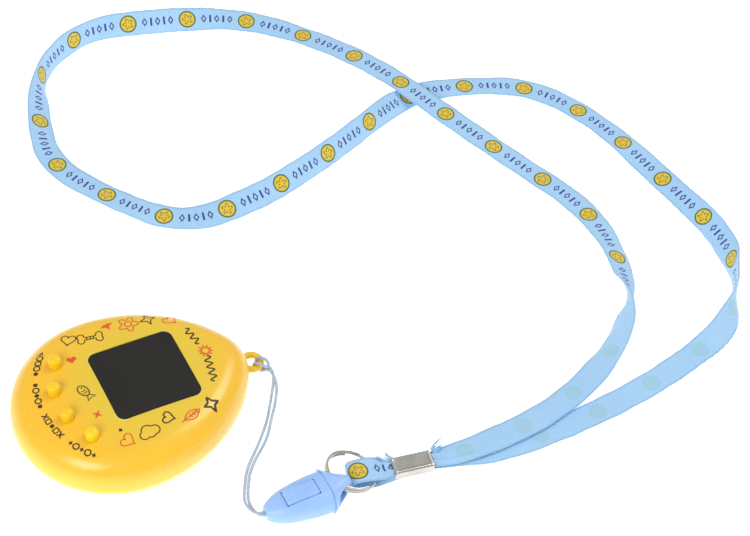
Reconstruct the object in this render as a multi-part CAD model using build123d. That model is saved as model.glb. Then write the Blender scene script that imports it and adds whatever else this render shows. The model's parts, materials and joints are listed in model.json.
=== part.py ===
from build123d import *
import math
import os

# Virtual pet: an egg-shaped case with a square screen and four buttons, and a
# thin cord, a quick-release buckle, a split ring and a flat neck strap.
# Millimetres.  +X right and +Y towards the cord eye as the player sees the face,
# +Z out of the face.  The case lies on its flat back at z = 0.

# ---- driving dimensions -----------------------------------------------------
CASE_LENGTH = 85.3
BASE_RADIUS = 35.4            # wide end of the egg outline
TIP_RADIUS = 17.5             # narrow end of the egg outline
CASE_THICKNESS = 26.0
DOME_RADIUS = 330.0
FRONT_ROUND = 9.2
BACK_BEVEL = 10.25            # sloped side between the shoulder and the flat back
SHOULDER_ROUND = 6.4
FOOT_ROUND = 12.0
WALL = 1.8
SEAM_Z = 13.4
LIP_HEIGHT = 1.2
LIP_GAP = 0.05

EYE_WIRE = 1.25               # radius of the moulded eye's bar
EYE_RADIUS = 3.3              # centre line of the eye
EYE_Z = 12.0
EYE_PAST_TIP = 2.8            # eye centre beyond the tip of the egg

WINDOW = 31.2
WINDOW_CORNER = 3.2
LENS_THICKNESS = 1.2
LENS_GAP = 0.05
LEDGE_WIDTH = 1.0             # the lens is set from the front onto this ledge
LEDGE_DEPTH = 1.2
LENS_TOP = 25.2
LCD_SIZE = 33.0
LCD_THICKNESS = 2.2

BOARD_TOP = 18.4
BOARD_THICKNESS = 1.2

BUTTON_ARC = 30.5
BUTTON_STEP = 22.5            # degrees between neighbouring buttons
BUTTON_RADIUS = 2.45
BUTTON_ROUND = 1.75
BUTTON_GAP = 0.08
BUTTON_PROUD = 3.9
FLANGE_RADIUS = 3.3
FLANGE_THICKNESS = 0.9
FLANGE_GAP = 0.7              # below the front's inner face, which slopes here

CELL_RADIUS = 5.8
CELL_THICKNESS = 5.4
CELL_SPACING = 12.4
CELL_FLOOR = 2.9
BAY_Y = 0.0
DOOR_LENGTH = 29.0
DOOR_WIDTH = 17.0
DOOR_THICKNESS = 1.6
DOOR_GAP = 0.15
DOOR_EAR_LENGTH = 8.4          # tab that takes the door's screw
DOOR_EAR_WIDTH = 8.0
DOOR_SCREW_X = DOOR_LENGTH / 2 + 3.2

CORD_RADIUS = 0.55
STRAP_WIDTH = 10.0
STRAP_THICKNESS = 0.7

BUCKLE_X = 57.6
BUCKLE_Z = 5.5
SOCKET_START = 20.7
SOCKET_LENGTH = 22.8
PLUG_LENGTH = 8.8
TONGUE_WIDTH = 9.8
TONGUE_HEIGHT = 6.6
TONGUE_PLATE = 2.2
TONGUE_LENGTH = 14.3
TONGUE_GAP = 0.1
LATCH_WIDTH = 6.2
LATCH_ARM = 1.6
LATCH_LENGTH = 12.2
LATCH_START = 27.6
LATCH_PAD = 2.5                # height of the pressed pad above the arm

RING_X = 53.0
RING_Y = 55.5
RING_Z = 4.7
RING_RADIUS = 9.0             # middle of the wire
RING_WIRE = 0.95
RING_TILT = 16.0              # the buckle holds the near side up

CLAMP_X = 57.4
CLAMP_Y = 77.2
CLAMP_TURN = -9.0             # degrees from +Y, clockwise
CLAMP_LENGTH = 14.5
CLAMP_WIDTH = 7.4
CLAMP_HEIGHT = 4.0
CLAMP_SHEET = 0.5

# ---- derived places -----------------------------------------------------------
TIP_REACH = EYE_PAST_TIP + EYE_RADIUS + EYE_WIRE
CASE_Y = -TIP_REACH / 2.0                      # middle of the egg outline
TIP_Y = CASE_Y + CASE_LENGTH / 2.0
EYE_Y = TIP_Y + EYE_PAST_TIP
BASE_CENTRE = CASE_Y - CASE_LENGTH / 2.0 + BASE_RADIUS
TIP_CENTRE = TIP_Y - TIP_RADIUS
SCREEN_Y = CASE_Y + 4.5
BOARD_BOTTOM = BOARD_TOP - BOARD_THICKNESS
LENS_BOTTOM = LENS_TOP - LENS_THICKNESS
LEDGE_BOTTOM = LENS_BOTTOM - LEDGE_DEPTH
SOCKET_END = SOCKET_START + SOCKET_LENGTH
CLAMP_PLANE = Plane(origin=(CLAMP_X, CLAMP_Y, 0)).rotated((0, 0, CLAMP_TURN))


def from_clamp(along, z):
    """Point on the clamp's long axis, measured from its middle towards the strap."""
    turn = math.radians(CLAMP_TURN)
    return (CLAMP_X - along * math.sin(turn), CLAMP_Y + along * math.cos(turn), z)


def on_button_arc(place):
    """Point on the buttons' arc, counted in steps from the case's centre line."""
    angle = math.radians(BUTTON_STEP * place)
    return (BUTTON_ARC * math.sin(angle), -BUTTON_ARC * math.cos(angle))


# The four buttons stand evenly on an arc round the wide end of the case.
BUTTONS = {
    "select_button": on_button_arc(-1.5),
    "decide_button": on_button_arc(-0.5),
    "cancel_button": on_button_arc(0.5),
    "reset_button": on_button_arc(1.5),
}
CASE_SCREWS = [(-20.5, 14.0), (20.5, 14.0), (0.0, -37.5)]
BOARD_SCREWS = [(-21.0, -15.5), (21.0, -15.5)]

# Centre line of the two cord strands, from the socket to the case eye and back.
CORD_ROUTE = [
    (57.0, 20.7, 5.5),
    (57.0, 18.7, 5.5),
    (53.6, 16.7, 4.4),
    (48, 17, 2.4),
    (42, 20, 1.2),
    (35, 24, 0.7),
    (30, 29, 0.6),
    (25, 34, 0.7),
    (18, 40, 0.8),
    (10.4, 42.6, 3.6),
    (6.4, 45.8, 8.4),
    (4.6, 46.6, 12.4),
    (2.7, 45.5, 14.2),
    (0.6, 42.9, 14.0),
    (0.7, 42.9, 10.2),
    (2.8, 46.4, 9.8),
    (6.0, 48.4, 8.4),
    (11.4, 46.4, 4.2),
    (19, 41, 0.9),
    (26, 36, 0.6),
    (31, 30, 0.7),
    (36, 25, 0.6),
    (42, 21.5, 1.2),
    (48, 18.5, 2.2),
    (53.6, 17.9, 4.0),
    (58.2, 18.2, 5.5),
    (58.2, 20.7, 5.5),
]

# Middle of the neck strap, all the way round from the clamp to the clamp.
STRAP_ROUTE = [
    from_clamp(CLAMP_LENGTH / 2, 2.7),
    from_clamp(CLAMP_LENGTH / 2 + 8, 2.7),
    (60, 105, 2.3),
    (58, 130, 2.1),
    (50, 155, 1.4),
    (35, 180, 0.8),
    (10, 195, 0.6),
    (-25, 200, 0.7),
    (-60, 185, 1.6),
    (-95, 170, 4.2),
    (-125, 160, 4.2),
    (-155, 145, 1.2),
    (-180, 120, 0.8),
    (-190, 85, 2.0),
    (-195, 55, 4.0),
    (-180, 30, 4.8),
    (-155, 20, 4.8),
    (-130, 15, 3.0),
    (-105, 30, 0.8),
    (-80, 50, 0.6),
    (-80, 80, 0.8),
    (-88, 110, 0.7),
    (-100, 140, 0.6),
    (-112, 165, 0.7),
    (-106, 190, 0.6),
    (-95, 215, 0.7),
    (-65, 230, 0.8),
    (-25, 235, 1.6),
    (10, 240, 3.0),
    (35, 230, 4.2),
    (50, 215, 3.6),
    (56, 195, 1.8),
    (61, 170, 0.7),
    (64, 140, 0.6),
    (64, 110, 0.8),
    from_clamp(CLAMP_LENGTH / 2 + 9, 1.2),
    from_clamp(CLAMP_LENGTH / 2, 1.2),
]


# ---- helpers --------------------------------------------------------------------
def save(name, shape):
    """Write one node as a STEP file."""
    export_step(shape, f"parts/{name}.step")


def block(x, y, z, size_x, size_y, size_z, corner=0.0):
    """Upright block centred on (x, y) with its bottom at z."""
    if corner > 0:
        outline = RectangleRounded(size_x, size_y, corner)
    else:
        outline = Rectangle(size_x, size_y)
    return Pos(x, y, z) * extrude(outline, size_z)


def rod(x, y, z, radius, height):
    """Upright cylinder with its bottom at z."""
    return Pos(x, y, z + height / 2) * Cylinder(radius, height)


def egg_outline(inset):
    """Egg outline of four tangent arcs, shrunk evenly by inset."""
    rise = TIP_CENTRE - BASE_CENTRE
    side = (BASE_RADIUS**2 + rise**2 - TIP_RADIUS**2) / (2 * (BASE_RADIUS - TIP_RADIUS))
    offset = side - BASE_RADIUS
    meet = math.degrees(math.atan2(rise, offset))
    base = CenterArc((0, BASE_CENTRE), BASE_RADIUS - inset, 180, 180)
    right = CenterArc((-offset, BASE_CENTRE), side - inset, 0, meet)
    tip = CenterArc((0, TIP_CENTRE), TIP_RADIUS - inset, meet, 180 - 2 * meet)
    left = CenterArc((offset, BASE_CENTRE), side - inset, 180 - meet, meet)
    return make_face([base, right, tip, left])


def egg_body(inset):
    """Closed egg: domed front, flat back, both rims rounded, shrunk by inset."""
    height = CASE_THICKNESS - 2 * inset
    body = Pos(0, 0, inset) * extrude(egg_outline(inset), height)
    dome = Pos(0, SCREEN_Y, CASE_THICKNESS - DOME_RADIUS) * Sphere(DOME_RADIUS - inset)
    body = body & dome
    rim = body.edges().filter_by(lambda e: e.center().Z > CASE_THICKNESS * 0.75)
    body = fillet(rim, FRONT_ROUND - inset)
    foot = body.edges().filter_by(lambda e: e.bounding_box().max.Z < inset + 0.01)
    bevel = BACK_BEVEL - inset * (2 - math.sqrt(2))
    body = chamfer(foot, bevel)
    shoulder = body.edges().filter_by(lambda e: abs(e.center().Z - inset - bevel) < 0.01)
    body = fillet(shoulder, SHOULDER_ROUND - inset)
    foot = body.edges().filter_by(lambda e: e.bounding_box().max.Z < inset + 0.01)
    return fillet(foot, FOOT_ROUND - inset)


def dome_z(x, y):
    """Height of the domed front at a place inside its rounded rim."""
    reach = x**2 + (y - SCREEN_Y) ** 2
    return CASE_THICKNESS - DOME_RADIUS + math.sqrt(DOME_RADIUS**2 - reach)


def slab(z_low, z_high):
    """Everything between two heights, wide enough for the case."""
    return block(0, 0, z_low, 200, 200, z_high - z_low)


def corner_radii(points, share=0.45):
    """Radius of the tangent arc at each inner point of a route."""
    radii = []
    for before, here, after in zip(points, points[1:], points[2:]):
        arrive = Vector(*here) - Vector(*before)
        leave = Vector(*after) - Vector(*here)
        turn = math.radians(arrive.get_angle(leave))
        radii.append(share * min(arrive.length, leave.length) / math.tan(turn / 2))
    return radii


def routed(name, points):
    """Straight runs joined by tangent arcs, with the radii and length printed."""
    radii = corner_radii(points)
    path = FilletPolyline(*points, radius=radii)
    print(name, "radii", [round(r, 1) for r in radii], "length", round(path.length, 1))
    return path


# ---- case -------------------------------------------------------------------------
def shells():
    outer = egg_body(0)
    inner = egg_body(WALL)
    hollow = outer - inner

    front = hollow & slab(SEAM_Z, CASE_THICKNESS + 1)
    front -= egg_body(WALL / 2 - LIP_GAP) & slab(SEAM_Z - 0.1, SEAM_Z + LIP_HEIGHT + 0.1)
    frame = WINDOW + 3.5
    opening = WINDOW - 2 * LEDGE_WIDTH
    front += block(0, SCREEN_Y, LEDGE_BOTTOM, frame, frame, 3.0, 4.0) & outer
    front -= block(0, SCREEN_Y, LENS_BOTTOM, WINDOW, WINDOW, 6.0, WINDOW_CORNER)
    front -= block(0, SCREEN_Y, LEDGE_BOTTOM - 1, opening, opening, 6.0, 2.0)
    for x, y in BUTTONS.values():
        front -= rod(x, y, SEAM_Z, BUTTON_RADIUS + BUTTON_GAP, CASE_THICKNESS)
    for x, y in CASE_SCREWS:
        boss = rod(x, y, SEAM_Z + 0.4, 2.6, 12.0) & inner
        front += boss - rod(x, y, SEAM_Z + 0.4, 0.9, 6.0)
    for x, y in BOARD_SCREWS:
        boss = rod(x, y, BOARD_TOP, 2.2, 8.0) & inner
        front += boss - rod(x, y, BOARD_TOP, 0.8, 4.0)

    back = hollow & slab(-1, SEAM_Z)
    back += (egg_body(WALL / 2) - inner) & slab(SEAM_Z - 1, SEAM_Z + LIP_HEIGHT)
    eye = Pos(0, EYE_Y, EYE_Z) * Torus(EYE_RADIUS, EYE_WIRE)
    back += eye - inner

    for x, y in CASE_SCREWS:
        boss = rod(x, y, 0.6, 3.2, SEAM_Z - 0.6 + 0.3) & inner
        back += boss
        back -= rod(x, y, 4.5, 1.25, SEAM_Z)
        back -= rod(x, y, -1, 2.3, 6.5)
    return front, back, inner


def battery_bay(back):
    """Cell compartment moulded in the back, its opening and its door's ledge."""
    top = CELL_FLOOR + CELL_THICKNESS + 0.7
    outside = block(0, BAY_Y, 0.5, DOOR_LENGTH - 1.4, DOOR_WIDTH - 1.4, top + 0.7, 3.0)
    inside = block(0, BAY_Y, -1, DOOR_LENGTH - 4.0, DOOR_WIDTH - 4.0, top + 1, 2.4)
    back = back + outside
    back = back - inside
    gap = 2 * DOOR_GAP
    back -= block(0, BAY_Y, -1, DOOR_LENGTH + gap, DOOR_WIDTH + gap, 1 + DOOR_THICKNESS, 2.0)
    ear_length = DOOR_EAR_LENGTH + gap
    ear_width = DOOR_EAR_WIDTH + gap
    back -= block(DOOR_SCREW_X - 1, BAY_Y, -1, ear_length, ear_width, 1 + DOOR_THICKNESS, 2.0)
    post = rod(DOOR_SCREW_X, BAY_Y, DOOR_THICKNESS, 2.6, 5.6)
    back += post
    back -= rod(DOOR_SCREW_X, BAY_Y, 0, 0.85, 6.2)
    for step in (-1, 0, 1):
        back -= rod(step * 3.0, 24.0, -1, 0.7, 4)
    # Slots in the bay roof for the tails of the two contacts.
    for side in (-1, 1):
        back -= block(side * CELL_SPACING / 2, BAY_Y, top - 0.5, 3.4, 1.0, 3.0)
    return back


def battery_door():
    lid = block(0, BAY_Y, 0, DOOR_LENGTH, DOOR_WIDTH, DOOR_THICKNESS, 1.9)
    lid += block(DOOR_SCREW_X - 1, BAY_Y, 0, DOOR_EAR_LENGTH, DOOR_EAR_WIDTH, DOOR_THICKNESS, 1.9)
    lid -= rod(DOOR_SCREW_X, BAY_Y, -1, 1.05, 5)
    lid -= rod(DOOR_SCREW_X, BAY_Y, -1, 1.75, 1.7)
    for step in range(4):
        lid -= block(-11.0 + 1.6 * step, BAY_Y, -0.1, 0.7, 8.0, 0.4)
    return lid


def screw(x, y, head_z, head_radius, head_height, shank_radius, shank_length):
    """Cross-head screw driven upwards from a head whose underside is head_z + height."""
    body = rod(x, y, head_z, head_radius, head_height)
    body += rod(x, y, head_z + head_height, shank_radius, shank_length)
    reach = head_radius * 1.1
    body -= block(x, y, head_z - 0.1, reach, 0.5, head_height * 0.6)
    body -= block(x, y, head_z - 0.1, 0.5, reach, head_height * 0.6)
    return body


def case_and_fasteners():
    front, back, inner = shells()
    back = battery_bay(back)
    save("front_shell", front)
    save("back_shell", back)
    save("battery_door", battery_door())
    save("battery_door_screw", screw(DOOR_SCREW_X, BAY_Y, 0.1, 1.6, 0.6, 0.8, 5.0))
    case_screws = [screw(x, y, 4.1, 2.1, 1.4, 0.85, 13.0) for x, y in CASE_SCREWS]
    save("case_screws", Compound(case_screws))
    board_screws = []
    for x, y in BOARD_SCREWS:
        board_screws.append(screw(x, y, BOARD_BOTTOM - 1.2, 1.7, 1.15, 0.75, 4.4))
    save("board_screws", Compound(board_screws))


# ---- screen ------------------------------------------------------------------------
def screen():
    size = WINDOW - 2 * LENS_GAP
    lens = block(0, SCREEN_Y, LENS_BOTTOM, size, size, LENS_THICKNESS, WINDOW_CORNER - LENS_GAP)
    save("window_lens", lens)

    lcd_z = LEDGE_BOTTOM - 0.3 - LCD_THICKNESS
    lcd = block(0, SCREEN_Y, lcd_z, LCD_SIZE, LCD_SIZE, 1.1)
    lcd += block(0, SCREEN_Y + 1.2, lcd_z + 1.1, LCD_SIZE, LCD_SIZE - 2.4, 1.1)
    save("lcd_panel", lcd)

    frame_height = lcd_z + LCD_THICKNESS - BOARD_TOP
    frame = block(0, SCREEN_Y, BOARD_TOP, LCD_SIZE + 2.6, LCD_SIZE + 2.6, frame_height, 1.5)
    frame -= block(0, SCREEN_Y, lcd_z, LCD_SIZE + 0.1, LCD_SIZE + 0.1, 6)
    frame -= block(0, SCREEN_Y, BOARD_TOP - 1, LCD_SIZE - 3.0, LCD_SIZE - 8.0, 6)
    strip_y = SCREEN_Y - LCD_SIZE / 2 + 1.8
    frame -= block(0, strip_y, BOARD_TOP - 1, LCD_SIZE - 2.0, 2.2, 6)
    save("lcd_frame", frame)

    strip = block(0, strip_y, BOARD_TOP, LCD_SIZE - 2.4, 1.8, lcd_z - BOARD_TOP)
    save("zebra_strip", strip)


# ---- electronics -------------------------------------------------------------------
def board():
    plate = Pos(0, 0, BOARD_BOTTOM) * extrude(egg_outline(6.5), BOARD_THICKNESS)
    plate &= block(0, -9.5, BOARD_BOTTOM, 60, 57, BOARD_THICKNESS)
    for x, y in CASE_SCREWS:
        plate -= rod(x, y, BOARD_BOTTOM - 1, 3.8, 4)
    for x, y in BOARD_SCREWS:
        plate -= rod(x, y, BOARD_BOTTOM - 1, 0.95, 4)
    save("circuit_board", plate)

    blob = Pos(0, 8.0, BOARD_BOTTOM) * Sphere(6.0)
    blob &= block(0, 8.0, BOARD_BOTTOM - 1.6, 14, 14, 1.6)
    save("chip_cover", blob)

    capacitors = []
    for x, y in [(-12.0, -9.0), (-12.0, -13.0), (12.5, -10.0)]:
        capacitors.append(block(x, y, BOARD_BOTTOM - 1.0, 2.0, 1.25, 1.0))
    can = rod(12.0, -16.5, BOARD_BOTTOM - 5.0, 2.0, 5.0)
    save("board_components", Compound([*capacitors, can]))

    buzzer = rod(0, -22.0, BOARD_BOTTOM - 4.0, 6.5, 4.0)
    buzzer -= rod(0, -22.0, BOARD_BOTTOM - 4.1, 1.0, 1.2)
    save("piezo_buzzer", buzzer)


def keypad():
    sheet_top = BOARD_TOP + 1.0
    sheet = block(0, -28.3, BOARD_TOP, 43.0, 12.6, 1.0, 3.0) & Pos(0, 0, BOARD_TOP) * extrude(
        egg_outline(7.5), 1.0
    )
    pills = []
    for x, y in BUTTONS.values():
        flange_bottom = dome_z(x, y) - WALL - FLANGE_GAP - FLANGE_THICKNESS
        sheet += rod(x, y, sheet_top - 0.2, 2.6, flange_bottom - sheet_top + 0.2)
        sheet -= rod(x, y, BOARD_TOP - 0.1, 1.7, 1.5)
        pills.append(rod(x, y, BOARD_TOP + 0.95, 1.4, 0.45))
    save("keypad_membrane", sheet)
    save("keypad_contacts", Compound(pills))


def button(x, y):
    """Domed cap with a wide flange that keeps it behind the front."""
    surface = dome_z(x, y)
    flange_top = surface - WALL - FLANGE_GAP
    top = surface + BUTTON_PROUD
    cap = rod(x, y, flange_top, BUTTON_RADIUS, top - flange_top)
    rim = cap.edges().sort_by(Axis.Z)[-1]
    cap = fillet(rim, BUTTON_ROUND)
    return cap + rod(x, y, flange_top - FLANGE_THICKNESS, FLANGE_RADIUS, FLANGE_THICKNESS)


def cells():
    stack = []
    for side in (-1, 1):
        x = side * CELL_SPACING / 2
        can = rod(x, BAY_Y, CELL_FLOOR, CELL_RADIUS, CELL_THICKNESS)
        rim = can.edges().sort_by(Axis.Z)[-1 if side > 0 else 0]
        stack.append(chamfer(rim, 0.5))
    save("button_cells", Compound(stack))

    roof = CELL_FLOOR + CELL_THICKNESS
    for side, name in ((-1, "battery_contact_minus"), (1, "battery_contact_plus")):
        x = side * CELL_SPACING / 2
        plate = block(x, BAY_Y, roof + 0.05, 8.0, 6.0, 0.3, 1.0)
        tail_height = BOARD_BOTTOM - roof - 0.35
        plate += block(x, BAY_Y, roof + 0.2, 3.0, 0.3, tail_height + 0.1)
        save(name, plate)
    bridge = block(0, BAY_Y, DOOR_THICKNESS + 0.02, CELL_SPACING + 8.0, 6.0, 0.3, 1.5)
    for side in (-1, 1):
        x = side * CELL_SPACING / 2
        bridge += rod(x, BAY_Y, DOOR_THICKNESS + 0.2, 1.5, CELL_FLOOR - DOOR_THICKNESS - 0.25)
    save("battery_bridge", bridge)


# ---- cord, buckle, ring and strap ------------------------------------------------------
def cord():
    path = routed("cord_loop", CORD_ROUTE)
    start = Plane(origin=path @ 0, z_dir=path % 0)
    tube = sweep(start * Circle(CORD_RADIUS), path, transition=Transition.ROUND)
    expected = math.pi * CORD_RADIUS**2 * path.length
    print("cord_loop volume", round(tube.volume, 1), "section x length", round(expected, 1))
    save("cord_loop", tube)


def section(y, width, height, corner):
    """Rounded rectangle standing across the buckle's axis."""
    plane = Plane(origin=(BUCKLE_X, y, BUCKLE_Z), x_dir=(1, 0, 0), z_dir=(0, 1, 0))
    return plane * RectangleRounded(width, height, corner)


def buckle():
    stations = [
        (0.0, 5.0, 4.4, 2.1),
        (3.0, 9.4, 7.2, 3.4),
        (7.5, 12.4, 9.2, 4.2),
        (14.0, 14.6, 10.2, 4.7),
        (SOCKET_LENGTH, 15.4, 10.4, 4.8),
    ]
    socket = loft([section(SOCKET_START + y, w, h, r) for y, w, h, r in stations])
    depth = TONGUE_LENGTH + 0.4
    pocket_z = BUCKLE_Z - TONGUE_HEIGHT / 2 - TONGUE_GAP
    pocket_width = TONGUE_WIDTH + 2 * TONGUE_GAP
    pocket_height = TONGUE_HEIGHT + 2 * TONGUE_GAP
    pocket_y = SOCKET_END - depth / 2 + 0.01
    socket -= block(BUCKLE_X, pocket_y, pocket_z, pocket_width, depth + 0.02, pocket_height)
    latch_y = LATCH_START + LATCH_LENGTH / 2
    window_width = LATCH_WIDTH + 0.4
    window_length = LATCH_LENGTH + 0.4
    socket -= block(BUCKLE_X, latch_y, BUCKLE_Z, window_width, window_length, 8.0)
    save("buckle_socket", socket)

    # Sprung arm of the plug: its pad fills the socket's window and is pressed to let go.
    arm_top = BUCKLE_Z + TONGUE_HEIGHT / 2
    latch_height = LATCH_ARM + LATCH_PAD
    latch_z = arm_top - LATCH_ARM
    latch = block(BUCKLE_X, latch_y, latch_z, LATCH_WIDTH, LATCH_LENGTH, latch_height)
    latch = fillet(latch.edges().filter_by(Axis.Z), 0.8)
    latch = fillet(latch.faces().sort_by(Axis.Z)[-1].edges(), 0.7)
    save("buckle_latch", latch)

    nose = [
        (SOCKET_END + 0.1, 17.0, 10.9, 4.6),
        (SOCKET_END + 1.1, 15.2, 10.4, 4.7),
        (SOCKET_END + 4.6, 9.6, 9.2, 4.0),
        (SOCKET_END + 7.2, 4.9, 8.2, 2.2),
        (SOCKET_END + PLUG_LENGTH, 3.4, 7.0, 1.6),
    ]
    plug = loft([section(y, w, h, r) for y, w, h, r in nose])
    eye_outline = RectangleRounded(5.0, 5.8, 2.2)
    eye = Rot(0, 90, 0) * extrude(eye_outline, 10, both=True)
    plug -= Pos(BUCKLE_X, SOCKET_END + 4.5, BUCKLE_Z + 0.6) * eye
    plate_z = BUCKLE_Z - TONGUE_HEIGHT / 2
    plate_y = SOCKET_END - TONGUE_LENGTH / 2 + 0.3
    plug += block(BUCKLE_X, plate_y, plate_z, TONGUE_WIDTH, TONGUE_LENGTH + 0.6, TONGUE_PLATE)
    root_length = 1.0
    root_y = SOCKET_END - TONGUE_LENGTH + root_length / 2
    root_height = TONGUE_HEIGHT - LATCH_ARM - 0.1
    plug += block(BUCKLE_X, root_y, plate_z, LATCH_WIDTH, root_length, root_height)
    stop_y = SOCKET_END - 0.6
    plug += block(BUCKLE_X, stop_y, plate_z, TONGUE_WIDTH, 1.9, TONGUE_HEIGHT)
    save("buckle_plug", plug)


def split_ring():
    """Two flat turns of wire, seen as one ring with a groove where they meet."""
    outer = RING_RADIUS + RING_WIRE / 2
    inner = RING_RADIUS - RING_WIRE / 2
    ring = Cylinder(outer, 2 * RING_WIRE) - Cylinder(inner, 3 * RING_WIRE)
    rims = ring.edges().filter_by(lambda e: abs(e.center().Z) > RING_WIRE / 2)
    rims = rims.filter_by(GeomType.CIRCLE)
    ring = fillet(rims, 0.3)
    ring -= Cylinder(outer + 1, 0.1) - Cylinder(outer - 0.2, 0.2)
    ring -= Cylinder(inner + 0.2, 0.1)
    save("split_ring", Pos(RING_X, RING_Y, RING_Z) * Rot(-RING_TILT, 0, 0) * ring)


def clamp():
    outside = RectangleRounded(CLAMP_WIDTH, CLAMP_HEIGHT, 0.9)
    inside = RectangleRounded(CLAMP_WIDTH - 2 * CLAMP_SHEET, CLAMP_HEIGHT - 2 * CLAMP_SHEET, 0.5)
    across = Plane(origin=(0, 0, CLAMP_HEIGHT / 2), x_dir=(1, 0, 0), z_dir=(0, 1, 0))
    tube = extrude(across * (outside - inside), CLAMP_LENGTH / 2, both=True)
    seam = block(0, 0, -0.1, 0.15, CLAMP_LENGTH + 1, CLAMP_SHEET + 0.2)
    save("strap_clamp", CLAMP_PLANE.location * (tube - seam))


def ring_loop():
    """Short end of the strap: through the clamp, over the ring and back under it."""
    bundle_width = CLAMP_WIDTH - 2 * CLAMP_SHEET - 0.1
    bundle_height = CLAMP_HEIGHT - 2 * CLAMP_SHEET - 0.1
    across = Plane(origin=(0, 0, CLAMP_HEIGHT / 2), x_dir=(1, 0, 0), z_dir=(0, 1, 0))
    bundle = across * RectangleRounded(bundle_width, bundle_height, 0.5)
    bundle = extrude(bundle, CLAMP_LENGTH / 2, both=True)
    face = -CLAMP_LENGTH / 2
    points = [
        (0, face, 2.8),
        (0, face - 2.2, 2.8),
        (0, face - 6.0, 4.5),
        (0, face - 11.0, 5.4),
        (0, face - 15.6, 5.0),
        (0, face - 16.1, 2.3),
        (0, face - 15.2, 0.5),
        (0, face - 11.0, 0.4),
        (0, face - 6.0, 0.45),
        (0, face - 2.2, 1.1),
        (0, face, 1.1),
    ]
    path = routed("strap_ring_loop", points)
    start = Plane(origin=path @ 0, x_dir=(1, 0, 0), z_dir=path % 0)
    tape = sweep(start * Rectangle(STRAP_WIDTH, STRAP_THICKNESS), path)
    expected = STRAP_WIDTH * STRAP_THICKNESS * path.length
    print("ring loop volume", round(tape.volume, 1), "section x length", round(expected, 1))
    save("strap_ring_loop", CLAMP_PLANE.location * (bundle + tape))


def strap():
    path = routed("lanyard_strap", STRAP_ROUTE)
    start = Plane(origin=path @ 0, x_dir=(path % 0).cross(Vector(0, 0, 1)), z_dir=path % 0)
    tape = sweep(start * Rectangle(STRAP_WIDTH, STRAP_THICKNESS), path)
    expected = STRAP_WIDTH * STRAP_THICKNESS * path.length
    print("lanyard volume", round(tape.volume, 1), "section x length", round(expected, 1))
    save("lanyard_strap", tape)


# ---- build ---------------------------------------------------------------------------
os.makedirs("parts", exist_ok=True)
case_and_fasteners()
screen()
board()
keypad()
for button_name, (button_x, button_y) in BUTTONS.items():
    save(button_name, button(button_x, button_y))
cells()
cord()
buckle()
split_ring()
clamp()
ring_loop()
strap()
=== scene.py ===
import json
import math

import bpy
from mathutils import Matrix, Vector
from mathutils.bvhtree import BVHTree


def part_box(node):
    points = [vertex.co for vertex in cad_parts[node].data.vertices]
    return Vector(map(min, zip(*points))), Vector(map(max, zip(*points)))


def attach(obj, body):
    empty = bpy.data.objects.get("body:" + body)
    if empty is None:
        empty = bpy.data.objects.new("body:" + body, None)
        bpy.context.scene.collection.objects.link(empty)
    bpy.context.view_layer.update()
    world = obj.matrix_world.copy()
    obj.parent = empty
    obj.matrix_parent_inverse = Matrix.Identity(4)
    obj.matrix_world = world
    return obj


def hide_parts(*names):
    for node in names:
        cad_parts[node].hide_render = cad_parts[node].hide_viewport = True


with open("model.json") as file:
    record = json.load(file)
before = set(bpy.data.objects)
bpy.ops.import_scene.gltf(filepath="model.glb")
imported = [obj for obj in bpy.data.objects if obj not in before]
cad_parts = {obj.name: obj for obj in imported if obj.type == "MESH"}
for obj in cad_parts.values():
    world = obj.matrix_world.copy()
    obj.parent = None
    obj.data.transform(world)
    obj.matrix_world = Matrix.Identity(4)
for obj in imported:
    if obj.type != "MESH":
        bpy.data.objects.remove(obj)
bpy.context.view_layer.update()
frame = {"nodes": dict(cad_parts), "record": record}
nodes = frame["nodes"]
MM = 0.001
UP = Vector((0, 0, 1))


def joint_place(name):
    """Where a joint turns, in millimetres."""
    joints = {joint["name"]: joint for joint in frame["record"]["behaviour"]["joints"]}
    return Vector(joints[name]["pos_m"]) / MM


# ---- camera: at the photograph's viewing angle ---------------------------------
AZIMUTH = math.radians(58.65)
ELEVATION = math.radians(47.74)
ROLL = math.radians(5.86)
level_forward = Vector((-math.sin(AZIMUTH), math.cos(AZIMUTH), 0))
level_right = Vector((math.cos(AZIMUTH), math.sin(AZIMUTH), 0))
level_up = level_forward * math.sin(ELEVATION) + UP * math.cos(ELEVATION)
backward = UP * math.sin(ELEVATION) - level_forward * math.cos(ELEVATION)
camera_x = level_right * math.cos(ROLL) + level_up * math.sin(ROLL)
camera_y = level_up * math.cos(ROLL) - level_right * math.sin(ROLL)
camera_data = bpy.data.cameras.new("camera")
camera_data.sensor_width = 36
camera_data.lens = 100.9
camera_data.clip_start = 0.01
camera = bpy.data.objects.new("camera", camera_data)
camera.matrix_world = Matrix.Translation((0.4271, -0.1712, 0.5916)) @ Matrix(
    (camera_x, camera_y, backward)
).transposed().to_4x4()
bpy.context.scene.collection.objects.link(camera)
bpy.context.scene.camera = camera
bpy.context.scene.view_settings.view_transform = "Standard"


# ---- building helpers ------------------------------------------------------------
def link(name, data, body=None):
    obj = bpy.data.objects.new(name, data)
    bpy.context.scene.collection.objects.link(obj)
    if body:
        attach(obj, body)
    return obj


def mesh_object(name, verts, faces, body, material=None, smooth=True):
    mesh = bpy.data.meshes.new(name)
    mesh.from_pydata([tuple(v) for v in verts], [], faces)
    for polygon in mesh.polygons:
        polygon.use_smooth = smooth
    if material:
        mesh.materials.append(material)
    return link(name, mesh, body)


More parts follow.
